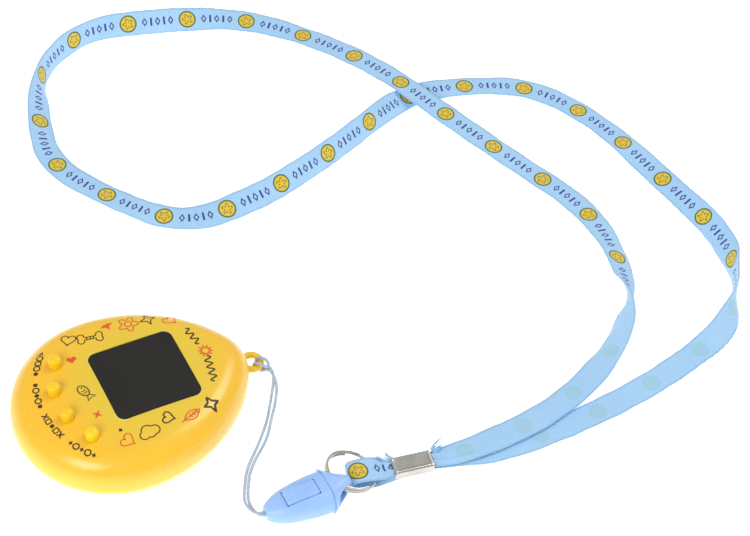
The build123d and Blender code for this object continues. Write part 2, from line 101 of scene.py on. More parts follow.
def spline_curve(name, points, radius=0.0, resolution=8):
    """A NURBS curve of order 3 through the pull of the given points, in metres."""
    curve = bpy.data.curves.new(name, "CURVE")
    curve.dimensions = "3D"
    curve.bevel_depth = radius
    curve.bevel_resolution = 4
    curve.resolution_u = resolution
    curve.use_fill_caps = radius > 0
    spline = curve.splines.new("NURBS")
    spline.points.add(len(points) - 1)
    for i, point in enumerate(points):
        spline.points[i].co = (*point, 1)
    spline.order_u = 3
    spline.use_endpoint_u = True
    return curve


def spline_points(curve):
    """The points along a curve that has no bevel."""
    obj = bpy.data.objects.new("line", curve)
    bpy.context.scene.collection.objects.link(obj)
    mesh = bpy.data.meshes.new_from_object(obj)
    points = [v.co.copy() for v in mesh.vertices]
    bpy.data.objects.remove(obj)
    return points


def in_metres(points):
    return [Vector(p[:3]) * MM for p in points]


def tube(name, points, radius, material, body, resolution=8):
    curve = spline_curve(name, in_metres(points), radius * MM, resolution)
    curve.materials.append(material)
    return link(name, curve, body)


# ---- material helpers --------------------------------------------------------------
def colour(code):
    """Linear colour of an sRGB hex code."""
    parts = [int(code[i:i + 2], 16) / 255 for i in (1, 3, 5)]
    return [*(c / 12.92 if c < 0.04045 else ((c + 0.055) / 1.055) ** 2.4 for c in parts), 1]


class Shader:
    """A material's node tree, with short calls for the nodes used here."""

    def __init__(self, name, base, roughness, **sockets):
        self.material = bpy.data.materials.new(name)
        self.material.use_nodes = True
        self.tree = self.material.node_tree
        self.shader = self.tree.nodes["Principled BSDF"]
        self.shader.inputs["Base Color"].default_value = colour(base)
        self.shader.inputs["Roughness"].default_value = roughness
        for socket, value in sockets.items():
            self.shader.inputs[socket.replace("_", " ")].default_value = value
        self.material.diffuse_color = colour(base)

    def node(self, kind, **settings):
        node = self.tree.nodes.new(kind)
        for key, value in settings.items():
            setattr(node, key, value)
        return node

    def feed(self, socket, value):
        if isinstance(value, bpy.types.NodeSocket):
            self.tree.links.new(value, socket)
        else:
            socket.default_value = value

    def math(self, operation, a, b=0.0, c=0.0, clamp=False):
        node = self.node("ShaderNodeMath", operation=operation, use_clamp=clamp)
        for socket, value in zip(node.inputs, (a, b, c)):
            self.feed(socket, value)
        return node.outputs[0]

    def position(self):
        return self.node("ShaderNodeTexCoord").outputs["Object"]

    def split(self, vector):
        node = self.node("ShaderNodeSeparateXYZ")
        self.feed(node.inputs[0], vector)
        return node.outputs

    def noise(self, scale, detail=3.0, vector=None, distortion=0.0):
        node = self.node("ShaderNodeTexNoise")
        node.inputs["Scale"].default_value = scale
        node.inputs["Detail"].default_value = detail
        node.inputs["Distortion"].default_value = distortion
        self.feed(node.inputs["Vector"], vector or self.position())
        return node.outputs["Fac"]

    def ramp(self, value, low, high, to_low=0.0, to_high=1.0):
        node = self.node("ShaderNodeMapRange")
        for socket, v in zip(node.inputs, (value, low, high, to_low, to_high)):
            self.feed(socket, v)
        return node.outputs[0]

    def mix(self, factor, a, b):
        node = self.node("ShaderNodeMix", data_type="RGBA")
        self.feed(node.inputs["Factor"], factor)
        self.feed(node.inputs[6], colour(a) if isinstance(a, str) else a)
        self.feed(node.inputs[7], colour(b) if isinstance(b, str) else b)
        return node.outputs[2]

    def base(self, value):
        self.feed(self.shader.inputs["Base Color"], value)

    def roughness(self, value):
        self.feed(self.shader.inputs["Roughness"], value)

    def bump(self, height, strength, distance_mm):
        node = self.node("ShaderNodeBump")
        node.inputs["Strength"].default_value = strength
        node.inputs["Distance"].default_value = distance_mm * MM
        self.feed(node.inputs["Height"], height)
        self.feed(self.shader.inputs["Normal"], node.outputs[0])

    def uv(self, name):
        return self.split(self.node("ShaderNodeUVMap", uv_map=name).outputs[0])


def plastic(name, base, dark, roughness=0.35, grain=0.05, **sockets):
    """Moulded plastic: faint mottling, uneven gloss and a fine moulded grain."""
    s = Shader(name, base, roughness, **sockets)
    s.base(s.mix(s.ramp(s.noise(60), 0.35, 0.7), base, dark))
    s.roughness(s.ramp(s.noise(220), 0.3, 0.7, roughness - 0.05, roughness + 0.07))
    s.bump(s.noise(1800, 2), 0.25, grain)
    return s


def metal(name, base, dark, roughness=0.25, scratch=900):
    """Plated or bare metal with fine drawn lines and duller patches."""
    s = Shader(name, base, roughness, Metallic=1.0)
    s.base(s.mix(s.ramp(s.noise(90), 0.35, 0.8, 0, 0.5), base, dark))
    s.roughness(s.ramp(s.noise(140), 0.3, 0.7, roughness - 0.06, roughness + 0.08))
    stretched = s.node("ShaderNodeMapping")
    stretched.inputs["Scale"].default_value = (1, 0.08, 1)
    s.feed(stretched.inputs[0], s.position())
    s.bump(s.noise(scratch, 2, stretched.outputs[0]), 0.15, 0.03)
    return s


# ---- materials -----------------------------------------------------------------------
window_low, window_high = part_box("window_lens")
SCREEN_Y = (window_low[1] + window_high[1]) / 2
case_yellow = Shader("case_yellow", "#FDC92F", 0.3, Coat_Weight=0.25, Coat_Roughness=0.18,
                     Subsurface_Weight=0.12, Subsurface_Scale=0.004)
x, y, z = case_yellow.split(case_yellow.position())
from_screen = case_yellow.math(
    "SQRT", case_yellow.math(
        "ADD", case_yellow.math("POWER", x, 2.0),
        case_yellow.math("POWER", case_yellow.math("SUBTRACT", y, SCREEN_Y), 2.0)))
near_screen = case_yellow.math(
    "MULTIPLY", case_yellow.ramp(from_screen, 0.036, 0.018),
    case_yellow.ramp(z, 0.021, 0.0245))
# Painted light: below about 20 mm the case is painted a paler yellow, a painted highlight for the light
# that falls on its lower sides.
tone = case_yellow.mix(case_yellow.ramp(z, 0.006, 0.02), "#FFE24A", "#FDC32B")
tone = case_yellow.mix(near_screen, tone, "#E9C838")
tone = case_yellow.mix(case_yellow.ramp(case_yellow.noise(45), 0.45, 0.8, 0, 0.12), tone, "#F6B726")
case_yellow.base(tone)
case_yellow.roughness(case_yellow.ramp(case_yellow.noise(180), 0.3, 0.7, 0.24, 0.36))
case_yellow.bump(case_yellow.noise(1500, 2), 0.2, 0.04)

button_yellow = plastic("button_yellow", "#FFD20A", "#FDC400", 0.32, 0.03,
                        Coat_Weight=0.2, Coat_Roughness=0.15)
window_dark = Shader("window_dark", "#2C2A28", 0.16, Specular_IOR_Level=0.22)
window_dark.base(window_dark.mix(window_dark.ramp(window_dark.noise(35), 0.35, 0.7),
                                 "#262523", "#2D2C2A"))
window_dark.roughness(window_dark.ramp(window_dark.noise(90), 0.3, 0.7, 0.1, 0.2))
window_dark.bump(window_dark.noise(60, 1), 0.05, 0.05)
window_frame = plastic("window_frame", "#E9D96A", "#D8C65A", 0.4)
lcd_glass = plastic("lcd_glass", "#59605A", "#4C534D", 0.15, 0.01)
white_plastic = plastic("white_plastic", "#ECEAE2", "#DEDBD0", 0.42)
rubber = plastic("conductive_rubber", "#2E2E30", "#232325", 0.7)
silicone = plastic("silicone_grey", "#C9CCCB", "#B9BDBC", 0.6)
epoxy = plastic("epoxy_black", "#18181A", "#222224", 0.35, 0.1)
board_green = Shader("board_green", "#1F6B3A", 0.35, Coat_Weight=0.4)
tracks = board_green.node("ShaderNodeTexBrick", offset=0.5)
tracks.inputs["Scale"].default_value = 420
tracks.inputs["Mortar Size"].default_value = 0.03
board_green.feed(tracks.inputs["Vector"], board_green.position())
board_green.base(board_green.mix(tracks.outputs["Fac"], "#1D6637", "#2F8A4E"))
board_green.bump(tracks.outputs["Fac"], 0.3, 0.04)
cell_steel = metal("cell_steel", "#C9CBCC", "#AEB1B3", 0.3)
spring_plate = metal("spring_plate", "#B8B6AC", "#8F8D84", 0.35)
screw_steel = metal("screw_steel", "#8D9092", "#6A6C6E", 0.3)
nickel = metal("nickel_plate", "#D6D3CC", "#A8A49B", 0.2)

cord_grey_blue = Shader("cord_grey_blue", "#A9BCD6", 0.45, Subsurface_Weight=0.2,
                        Subsurface_Scale=0.001, Sheen_Weight=0.2)
braid = cord_grey_blue.node("ShaderNodeTexWave", wave_type="BANDS", bands_direction="DIAGONAL")
braid.inputs["Scale"].default_value = 420
braid.inputs["Distortion"].default_value = 1.5
cord_grey_blue.feed(braid.inputs["Vector"], cord_grey_blue.position())
cord_grey_blue.base(cord_grey_blue.mix(
    cord_grey_blue.ramp(braid.outputs["Fac"], 0.2, 0.9), "#9FB3CF", "#B9C9DE"))
cord_grey_blue.bump(braid.outputs["Fac"], 0.35, 0.08)

buckle_blue = Shader("buckle_blue", "#9FC6FC", 0.38, Subsurface_Weight=0.15,
                     Subsurface_Scale=0.002, Coat_Weight=0.15, Coat_Roughness=0.3)
buckle_blue.base(buckle_blue.mix(buckle_blue.ramp(buckle_blue.noise(70), 0.35, 0.75),
                                 "#A2C9FE", "#93BDF8"))
buckle_blue.roughness(buckle_blue.ramp(buckle_blue.noise(260), 0.3, 0.7, 0.34, 0.46))
buckle_blue.bump(buckle_blue.noise(1300, 2), 0.25, 0.04)

PRINT_PITCH = 25.0


def strap_material(name, printed):
    """Woven tape.  The map runs in millimetres along and across it."""
    s = Shader(name, "#A9D4F7", 0.62, Sheen_Weight=0.3, Sheen_Roughness=0.5)
    u, v, _ = s.uv("tape")
    ribs = s.math("SINE", s.math("MULTIPLY", u, 2 * math.pi / 0.95))
    weave = s.math("SINE", s.math("MULTIPLY", v, 2 * math.pi / 0.5))
    fibre = s.noise(2600, 2)
    tone = s.mix(s.ramp(ribs, -1, 1), "#9CCBF3", "#B2DAFA")
    tone = s.mix(s.ramp(s.noise(28), 0.35, 0.7, 0, 0.5), tone, "#98C6EF")
    tone = s.mix(s.ramp(s.math("ABSOLUTE", v), 4.1, 4.7, 0, 0.35), tone, "#8FBBE6")
    along = s.math("SUBTRACT", s.math("MODULO", s.math("ADD", u, 100 * PRINT_PITCH), PRINT_PITCH),
                   PRINT_PITCH / 2)
    r = s.math("SQRT", s.math("ADD", s.math("POWER", along, 2.0), s.math("POWER", v, 2.0)))
    disc = s.ramp(r, 3.55, 3.35)
    if printed:
        turn = s.math("ARCTAN2", v, along)
        petals = s.math("ADD", 1.55, s.math("MULTIPLY", 0.55, s.math(
            "COSINE", s.math("MULTIPLY", turn, 5.0))))
        flower = s.ramp(s.math("ABSOLUTE", s.math("SUBTRACT", r, petals)), 0.28, 0.14)
        outline = s.ramp(s.math("ABSOLUTE", s.math("SUBTRACT", r, 3.3)), 0.4, 0.22)
        tone = s.mix(disc, tone, "#E3C12F")
        tone = s.mix(s.math("MAXIMUM", outline, flower), tone, "#4A6A3E")
        # Plain marks between the discs: diamonds and bars in turn.
        far = s.math("MODULO", s.math("ADD", along, 100 * PRINT_PITCH), PRINT_PITCH)
        far = s.math("SUBTRACT", far, PRINT_PITCH / 2)
        place = s.math("ROUND", s.math("DIVIDE", far, 2.75))
        local = s.math("ABSOLUTE", s.math("SUBTRACT", far, s.math("MULTIPLY", place, 2.75)))
        high = s.math("ABSOLUTE", v)
        odd = s.math("MODULO", s.math("ADD", place, 10.0), 2.0)
        diamond = s.math("ADD", s.math("MULTIPLY", local, 1.5), s.math("MULTIPLY", high, 0.95))
        diamond = s.ramp(s.math("ABSOLUTE", s.math("SUBTRACT", diamond, 1.35)), 0.52, 0.36)
        bar = s.math("MULTIPLY", s.ramp(local, 0.5, 0.36), s.ramp(high, 1.75, 1.6))
        mark = s.math("ADD", s.math("MULTIPLY", odd, bar),
                      s.math("MULTIPLY", s.math("SUBTRACT", 1.0, odd), diamond), clamp=True)
        mark = s.math("MULTIPLY", mark, s.ramp(s.math("ABSOLUTE", far), 7.1, 6.9))
        tone = s.mix(mark, tone, "#2B3A8F")
    else:
        tone = s.mix(s.math("MULTIPLY", disc, 0.4), tone, "#93C4C6")
    s.base(tone)
    s.roughness(s.ramp(fibre, 0.3, 0.7, 0.55, 0.75))
    height = s.math("ADD", s.math("ADD", ribs, s.math("MULTIPLY", weave, 0.35)),
                    s.math("MULTIPLY", fibre, 0.8))
    s.bump(height, 0.55, 0.09)
    return s


strap_front = strap_material("strap_printed", True)
strap_back = strap_material("strap_plain", False)
fray_blue = plastic("fray_blue", "#8DBEEA", "#B4DAF6", 0.8, 0.3)
ink_black = plastic("ink_black", "#3A2A18", "#4A3820", 0.5, 0.02)
ink_red = plastic("ink_red", "#DB4A22", "#E5602C", 0.5, 0.02)

# ---- the cord between the case and the buckle ------------------------------------------
EYE = joint_place("cord_swing")
EYE_TURN = math.radians(45)
OUT = Vector((math.sin(EYE_TURN), math.cos(EYE_TURN), 0))
ALONG_BAR = Vector((math.cos(EYE_TURN), -math.sin(EYE_TURN), 0))
BAR = EYE + OUT * 3.3


def at_bar(along, out, high):
    """A point near the eye's bar where the cord is hitched."""
    return BAR + ALONG_BAR * along + OUT * out + UP * high


def hitch(side):
    """One half of the hitch: from the middle of the bight round the bar and out."""
    return [
        at_bar(0.0 * side, 3.1, 0.3),
        at_bar(0.9 * side, 2.9, 0.9),
        at_bar(1.5 * side, 1.5, 2.1),
        at_bar(1.4 * side, -0.9, 2.3),
        at_bar(1.1 * side, -2.3, 0.5),
        at_bar(0.8 * side, -1.5, -1.9),
        at_bar(0.65 * side, 0.9, -2.3),
        at_bar(0.6 * side, 2.6, -0.9),
        at_bar(0.6 * side, 4.0, -0.8),
    ]


STRAND_A = hitch(-1) + [
    (7.6, 47.2, 8.6),
    (11.6, 44.4, 4.4),
    (18, 40, 1.0),
    (25, 34, 0.7),
    (30, 29, 0.6),
    (35, 24, 0.7),
    (42, 20, 1.2),
    (48, 17, 2.4),
    (53.6, 16.9, 4.4),
    (57.0, 18.7, 5.5),
    (57.0, 22.2, 5.5),
]
STRAND_B = hitch(1) + [
    (8.4, 47.8, 8.4),
    (12.6, 46.0, 4.2),
    (19, 41, 1.0),
    (26, 36, 0.6),
    (31, 30, 0.7),
    (36, 25, 0.6),
    (42, 21.5, 1.2),
    (48, 18.5, 2.2),
    (53.6, 17.9, 4.0),
    (58.2, 18.9, 5.5),
    (58.2, 22.2, 5.5),
]
CORD_RADIUS = 0.55
strand_a = tube("cord_strand_near", STRAND_A, CORD_RADIUS, cord_grey_blue.material, "cord_end")
strand_b = tube("cord_strand_far", STRAND_B, CORD_RADIUS, cord_grey_blue.material, "cord_end")
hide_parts("cord_loop")
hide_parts("cord_loop")


# ---- the neck strap -----------------------------------------------------------------
clamp_low, clamp_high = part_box("strap_clamp")
CLAMP = Vector(((clamp_low[0] + clamp_high[0]) / 2 / MM, (clamp_low[1] + clamp_high[1]) / 2 / MM, 0))
CLAMP_HALF = 7.25             # half the length of the clamp
CLAMP_TURN = math.radians(-9)
CLAMP_ALONG = Vector((-math.sin(CLAMP_TURN), math.cos(CLAMP_TURN), 0))
CLAMP_ACROSS = Vector((math.cos(CLAMP_TURN), math.sin(CLAMP_TURN), 0))


def from_clamp(along, high, across=0.0):
    return CLAMP + CLAMP_ALONG * along + CLAMP_ACROSS * across + UP * high


# Each point with the roll of the printed face about the strap there, in degrees.
STRAP_ROUTE = [
    (*from_clamp(CLAMP_HALF, 2.7), 180),
    (*from_clamp(CLAMP_HALF + 8, 2.7), 180),
    (60, 105, 2.3, 180),
    (58, 130, 2.1, 180),
    (50, 155, 1.8, 175),
    (35, 180, 3.2, 140),
    (10, 195, 2.6, 25),
    (-25, 200, 0.7, 0),
    (-60, 185, 1.6, 0),
    (-95, 170, 4.2, 0),
    (-125, 160, 4.2, 0),
    (-155, 145, 1.2, 0),
    (-180, 120, 2.0, -12),
    (-190, 85, 4.0, -45),
    (-195, 55, 5.0, -70),
    (-180, 30, 4.8, -75),
    (-155, 20, 3.0, -25),
    (-130, 15, 2.0, 0),
    (-105, 30, 0.8, 0),
    (-80, 50, 1.6, 10),
    (-80, 80, 3.0, 35),
    (-88, 110, 4.0, 50),
    (-100, 140, 4.0, 55),
    (-112, 165, 0.9, 10),
    (-106, 190, 1.6, 0),
    (-95, 215, 0.7, 0),
    (-65, 230, 0.8, 0),
    (-25, 235, 2.4, 15),
    (10, 240, 3.6, 40),
    (35, 230, 5.0, 90),
    (50, 215, 3.6, 150),
    (56, 195, 1.8, 180),
    (61, 170, 0.7, 180),
    (64, 140, 0.6, 180),
    (64, 110, 0.8, 180),
    (*from_clamp(CLAMP_HALF + 9, 1.2), 180),
    (*from_clamp(CLAMP_HALF, 1.2), 180),
]
STRAP_WIDTH = 10.0
STRAP_HALF_THICK = 0.3


def smooth_between(values, place):
    """The value at a fractional index, eased between its neighbours."""
    place = min(max(place, 0), len(values) - 1)
    low = min(int(place), len(values) - 2)
    t = place - low
    t = t * t * (3 - 2 * t)
    return values[low] * (1 - t) + values[low + 1] * t


def ribbon(name, line, rolls, half_width, start_mm, body, ripple=0.15, gather=None, level=None):
    """A flat woven tape along a line: printed side, plain side and two edges."""
    columns = 9
    count = len(line)
    verts, maps = [], []
    travelled = start_mm
    for k, centre in enumerate(line):
        ahead = line[min(k + 1, count - 1)] - line[max(k - 1, 0)]
        tangent = ahead.normalized()
        if k:
            travelled += (centre - line[k - 1]).length / MM
        side = level or tangent.cross(UP).normalized()
        normal = side.cross(tangent)
        roll = math.radians(rolls[k])
        face = normal * math.cos(roll) + side * math.sin(roll)
        across = side * math.cos(roll) - normal * math.sin(roll)
        narrow = gather(travelled) if gather else 1.0
        reach = half_width * narrow
        for sheet in (1, -1):
            for i in range(columns):
                t = (2 * i / (columns - 1) - 1) * sheet
                wave = ripple * math.sin(travelled * 0.37 + t * 1.7) * t * t
                wave += ripple * 0.6 * math.sin(travelled * 0.11 + 1.3) * t
                edge = STRAP_HALF_THICK * (1 - 0.45 * abs(t) ** 6)
                fold = (1 - narrow) * 2.6 * math.cos(t * 7.5 + travelled * 0.12)
                nibble = 0.07 * math.sin(travelled * 6.6) if abs(t) > 0.99 else 0.0
                point = centre + across * (t * reach + nibble * t) * MM
                point = point + face * (edge * sheet + wave + fold) * MM
                verts.append(point)
                maps.append((travelled, t * half_width))
    ring = 2 * columns
    faces, kinds = [], []
    for k in range(count - 1):
        for i in range(ring):
            j = (i + 1) % ring
            corners = [k * ring + i, k * ring + j, (k + 1) * ring + j, (k + 1) * ring + i]
            faces.append(corners)
            kinds.append(0 if i < columns - 1 else 1)
    faces.append(list(range(ring - 1, -1, -1)))
    faces.append([(count - 1) * ring + i for i in range(ring)])
    kinds += [1, 1]
    mesh = bpy.data.meshes.new(name)
    mesh.from_pydata([tuple(v) for v in verts], [], faces)
    mesh.materials.append(strap_front.material)
    mesh.materials.append(strap_back.material)
    layer = mesh.uv_layers.new(name="tape")
    for polygon, kind in zip(mesh.polygons, kinds):
        polygon.material_index = kind
        polygon.use_smooth = True
        for loop in polygon.loop_indices:
            layer.data[loop].uv = maps[mesh.loops[loop].vertex_index]
    obj = link(name, mesh, body)
    return obj


def length_of(line):
    return sum((b - a).length for a, b in zip(line, line[1:]))


def lift_off_floor(line, rolls):
    """Raises each point until the rolled tape's lower edge rests on the floor."""
    lifted = []
    for point, roll in zip(line, rolls):
        turn = math.radians(roll)
        need = abs(math.sin(turn)) * STRAP_WIDTH / 2 + abs(math.cos(turn)) * 0.35 + 0.1
        lifted.append(Vector((point.x, point.y, max(point.z, need * MM))))
    return lifted


def station_rolls(count, route):
    """The roll at each of the spline's points: a control point acts half a step early."""
    last = len(route) - 2
    values = [p[3] for p in route]
    return [smooth_between(values, k / (count - 1) * last + 0.5) for k in range(count)]


strap_line = spline_points(spline_curve("strap_line", in_metres(STRAP_ROUTE), resolution=28))
strap_rolls = station_rolls(len(strap_line), STRAP_ROUTE)
strap_line = lift_off_floor(strap_line, strap_rolls)
STRAP_LENGTH = length_of(strap_line)


def strap_gather(travelled):
    """The tape is pinched where it goes into the clamp at either end."""
    from_end = min(travelled, STRAP_LENGTH / MM - travelled)
    return 1.0 - 0.34 * max(0.0, 1 - from_end / 26.0) ** 1.6


strap = ribbon("neck_strap", strap_line, strap_rolls, STRAP_WIDTH / 2, 0.0, "strap",
               gather=strap_gather)
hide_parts("lanyard_strap")


# The short loop of the same tape that holds the split ring: each point's distance
# from the clamp's ring end and its height.
RING_LOOP = [
    (2.0, 2.8),
    (-2.2, 2.9),
    (-6.0, 4.5),
    (-11.0, 5.4),
    (-15.6, 5.0),
    (-16.1, 2.3),
    (-15.2, 0.6),
    (-11.0, 0.5),
    (-6.0, 0.6),
    (-2.2, 1.1),
    (2.0, 1.2),
]
RING_END = -CLAMP_HALF
loop_line = spline_points(spline_curve(
    "loop_line", in_metres([from_clamp(RING_END + a, h) for a, h in RING_LOOP]), resolution=20))
LOOP_LENGTH = length_of(loop_line) / MM
LOOP_START = 22.5             # where the print's rhythm stands at the clamp


def loop_gather(travelled):
    from_end = min(travelled - LOOP_START, LOOP_LENGTH + LOOP_START - travelled)
    return 1.0 - 0.32 * max(0.0, 1 - from_end / 8.0) ** 1.2


ring_loop = ribbon("ring_loop", loop_line, [0] * len(loop_line), STRAP_WIDTH / 2, LOOP_START,
                   "strap", ripple=0.2, gather=loop_gather, level=CLAMP_ACROSS * -1)
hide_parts("strap_ring_loop")

# ---- split ring: a round wire wound twice, its ends lying side by side --------------------
RING_CENTRE = joint_place("strap_pivot")
RING_RADIUS = 9.0
ring_lean = Matrix.Rotation(math.radians(-16), 3, "X")
ring_points = []
RING_STEPS = 92
for step in range(RING_STEPS):
    angle = math.radians(165 + step * 10.2)
    rise = 2.4 * (step / (RING_STEPS - 1) - 0.5)
    radius = RING_RADIUS + (0.12 if 30 < step < 62 else 0.0)
    around_ring = Vector((math.cos(angle) * radius, math.sin(angle) * radius, rise))
    ring_points.append(RING_CENTRE + ring_lean @ around_ring)
split_ring = tube("split_ring_wire", ring_points, 0.46, nickel.material, "ring", resolution=4)
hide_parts("split_ring")


# ---- clamp: a strip of sheet folded round the tape, its faces pressed in -------------------
CLAMP_WIDTH = 7.4
CLAMP_HEIGHT = 4.0


def clamp_section(press, swell):
    """Rounded-rectangle section of the clamp, with its top and bottom pressed in."""
    half_w, half_h, corner = CLAMP_WIDTH / 2 - 0.05 + swell, CLAMP_HEIGHT / 2 - 0.05 + swell, 0.8
    points = []
    for sx, sz, first in ((1, 1, 0), (-1, 1, 90), (-1, -1, 180), (1, -1, 270)):
        for i in range(6):
            angle = math.radians(first + 18 * i)
            points.append([sx * (half_w - corner) + corner * math.cos(angle),
                           sz * (half_h - corner) + corner * math.sin(angle)])
    top = [[half_w - 1.0 - (2 * half_w - 2.0) * i / 6, half_h - (press if 0 < i < 6 else 0)]
           for i in range(7)]
    low = [[-px, -pz] for px, pz in top]
    return points[:6] + top + points[6:18] + low + points[18:]


clamp_verts, clamp_faces = [], []
CLAMP_STATIONS = [(-7.25, 0, -0.5), (-7.25, 0, 0), (-6.6, 0, 0.05), (-6.2, 0.05, 0), (-5.7, 0.3, 0),
                  (0, 0.34, 0), (5.7, 0.3, 0), (6.2, 0.05, 0), (6.6, 0, 0.05), (7.25, 0, 0),
                  (7.25, 0, -0.5)]
for along, press, swell in CLAMP_STATIONS:
    outline = clamp_section(press, swell)
    for px, pz in outline:
        clamp_verts.append(from_clamp(along, CLAMP_HEIGHT / 2 + pz, px) * MM)
CLAMP_RING = len(outline)
for k in range(len(CLAMP_STATIONS) - 1):
    for i in range(CLAMP_RING):
        j = (i + 1) % CLAMP_RING
        clamp_faces.append((k * CLAMP_RING + i, k * CLAMP_RING + j,
                            (k + 1) * CLAMP_RING + j, (k + 1) * CLAMP_RING + i))
clamp = mesh_object("clamp_sleeve", clamp_verts, clamp_faces, "strap", nickel.material, smooth=False)
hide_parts("strap_clamp")

# ---- cut ends of the tape, frayed where they come out of the clamp ---------------------------
def frayed(name, root, reach, spread, seed):
    """A small torn flap of tape with loose threads."""
    verts, faces = [], []
    count = 9
    for i in range(count):
        t = i / (count - 1) - 0.5
        jag = 0.55 + 0.45 * math.sin(seed + i * 2.4) * math.cos(i * 1.3)
        foot = Vector(root) + spread * t
        tip = foot + reach * jag + spread * t * 0.5 + UP * (0.5 * math.sin(i * 1.9 + seed))
        verts += [foot * MM, (foot * 0.5 + tip * 0.5 + UP * 0.25) * MM, tip * MM]
        verts += [(tip + reach * 0.25 + spread * (0.1 * math.sin(i * 3.1))) * MM]
    for i in range(count - 1):
        for r in range(3):
            if r == 2 and i % 2:
                continue
            a = 4 * i + r
            faces.append((a, a + 4, a + 5, a + 1))
    obj = mesh_object(name, verts, faces, "strap", fray_blue.material)
    thick = obj.modifiers.new("thick", "SOLIDIFY")
    thick.thickness = 0.25 * MM
    return obj


fray_a = frayed("frayed_end_ring_side", from_clamp(-7.6, 3.3, -2.6),
                CLAMP_ALONG * -2.2 - CLAMP_ACROSS * 2.6 + UP * 1.0, CLAMP_ALONG * 3.4, 0.4)
fray_b = frayed("frayed_end_strap_side", from_clamp(8.2, 3.4, -2.9),
                CLAMP_ALONG * 4.2 - CLAMP_ACROSS * 1.6 + UP * 0.8, CLAMP_ACROSS * 2.6, 1.7)

for node, shader in {
    "front_shell": case_yellow, "back_shell": case_yellow, "battery_door": case_yellow,
    "select_button": button_yellow, "decide_button": button_yellow,
    "cancel_button": button_yellow, "reset_button": button_yellow,
    "window_lens": window_dark, "lcd_panel": lcd_glass, "lcd_frame": white_plastic,
    "zebra_strip": rubber, "circuit_board": board_green, "chip_cover": epoxy,
    "board_components": epoxy, "piezo_buzzer": rubber, "keypad_membrane": silicone,
    "keypad_contacts": rubber, "button_cells": cell_steel, "battery_contact_minus": spring_plate,
    "battery_contact_plus": spring_plate, "battery_bridge": spring_plate,
    "case_screws": screw_steel, "board_screws": screw_steel, "battery_door_screw": screw_steel,
    "buckle_socket": buckle_blue, "buckle_latch": buckle_blue, "buckle_plug": buckle_blue,
}.items():
    obj = nodes[node]
    if not obj.material_slots:
        obj.data.materials.append(shader.material)
    for material_slot in obj.material_slots:
        material_slot.material = shader.material

# ---- prints on the front of the case -------------------------------------------------------
shell_mesh = nodes["front_shell"].data
shell_tree = BVHTree.FromPolygons([v.co for v in shell_mesh.vertices],
                                  [p.vertices for p in shell_mesh.polygons])
INK_LIFT = 0.03


class Print:
    """Flat shapes drawn in millimetres and laid on the front of the case as thin ink."""

    def __init__(self):
        self.verts, self.faces = [], []

    def patch(self, points, faces):
        start = len(self.verts)
        for px, py in points:
            hit, normal, _, _ = shell_tree.ray_cast(Vector((px * MM, py * MM, 0.05)),
                                                    Vector((0, 0, -1)))
            self.verts.append(hit + normal * INK_LIFT * MM)
        self.faces += [[start + i for i in face] for face in faces]

    def fill(self, points):
        centre = [sum(p[k] for p in points) / len(points) for k in (0, 1)]
        count = len(points)
        self.patch([centre, *points], [(0, i + 1, (i + 1) % count + 1) for i in range(count)])

    def stroke(self, points, width, closed=True):
        count = len(points)
        rim = []
        for i, (px, py) in enumerate(points):
            before = points[(i - 1) % count if closed else max(i - 1, 0)]
            after = points[(i + 1) % count if closed else min(i + 1, count - 1)]
            dx, dy = after[0] - before[0], after[1] - before[1]
            size = math.hypot(dx, dy) or 1
            nx, ny = -dy / size * width / 2, dx / size * width / 2
            rim += [(px + nx, py + ny), (px - nx, py - ny)]
        steps = count if closed else count - 1
        faces = []
        for i in range(steps):
            j = (i + 1) % count
            faces.append((2 * i, 2 * i + 1, 2 * j + 1, 2 * j))
        self.patch(rim, faces)

    def build(self, name, material):
        return mesh_object(name, self.verts, self.faces, "case", material)


def placed(points, x, y, turn=0.0, size=1.0):
    """Points turned by degrees, scaled and moved to a place on the case."""
    c, s = math.cos(math.radians(turn)) * size, math.sin(math.radians(turn)) * size
    return [(x + px * c - py * s, y + px * s + py * c) for px, py in points]


def around(count, radius_at):
    """A closed outline given by its radius at each angle."""
    result = []
    for i in range(count):
        angle = 2 * math.pi * i / count
        result.append((radius_at(angle) * math.cos(angle), radius_at(angle) * math.sin(angle)))
    return result


def heart():
    result = []
    for i in range(36):
        t = 2 * math.pi * i / 36
        result.append((math.sin(t) ** 3, (13 * math.cos(t) - 5 * math.cos(2 * t)
                                          - 2 * math.cos(3 * t) - math.cos(4 * t)) / 16))
    return result


def star(points=4, waist=0.36):
    result = []
    for i in range(points * 2):
        angle = math.pi * i / points
        radius = waist if i % 2 else 1.0
        result.append((radius * math.cos(angle), radius * math.sin(angle)))
    return result


def dense(points, steps=4):
    """The same outline with points along its sides, which keeps sharp corners sharp."""
    result = []
    for (ax, ay), (bx, by) in zip(points, points[1:] + points[:1]):
        result += [(ax + (bx - ax) * i / steps, ay + (by - ay) * i / steps) for i in range(steps)]
    return result


def disc(radius=1.0):
    return around(24, lambda angle: radius)


def bone():
    half = []
    for lobe_y, first, last in ((0.95, 200, -35), (-0.95, 35, -200)):
        for i in range(12):
            angle = math.radians(first + (last - first) * i / 11)
            half.append((3.1 + 1.15 * math.cos(angle), lobe_y + 1.15 * math.sin(angle)))
    return half + [(-px, -py) for px, py in half]


def cloud():
    lobes = [(-1.9, -0.2, 1.6), (-0.3, 0.9, 2.0), (1.9, 0.0, 1.7), (0.2, -0.6, 1.5)]

    def reach(angle):
        dx, dy = math.cos(angle), math.sin(angle)
        best = 0.0
        for lx, ly, radius in lobes:
            along, off = lx * dx + ly * dy, lx * dy - ly * dx
            if abs(off) < radius:
                best = max(best, along + math.sqrt(radius ** 2 - off ** 2))
        return best
    return around(60, reach)


def leaf():
    upper = [(-3.2 + 6.4 * i / 14, 1.5 * math.sin(math.pi * i / 14)) for i in range(15)]
    return upper + [(-px, -py) for px, py in upper[1:-1]]


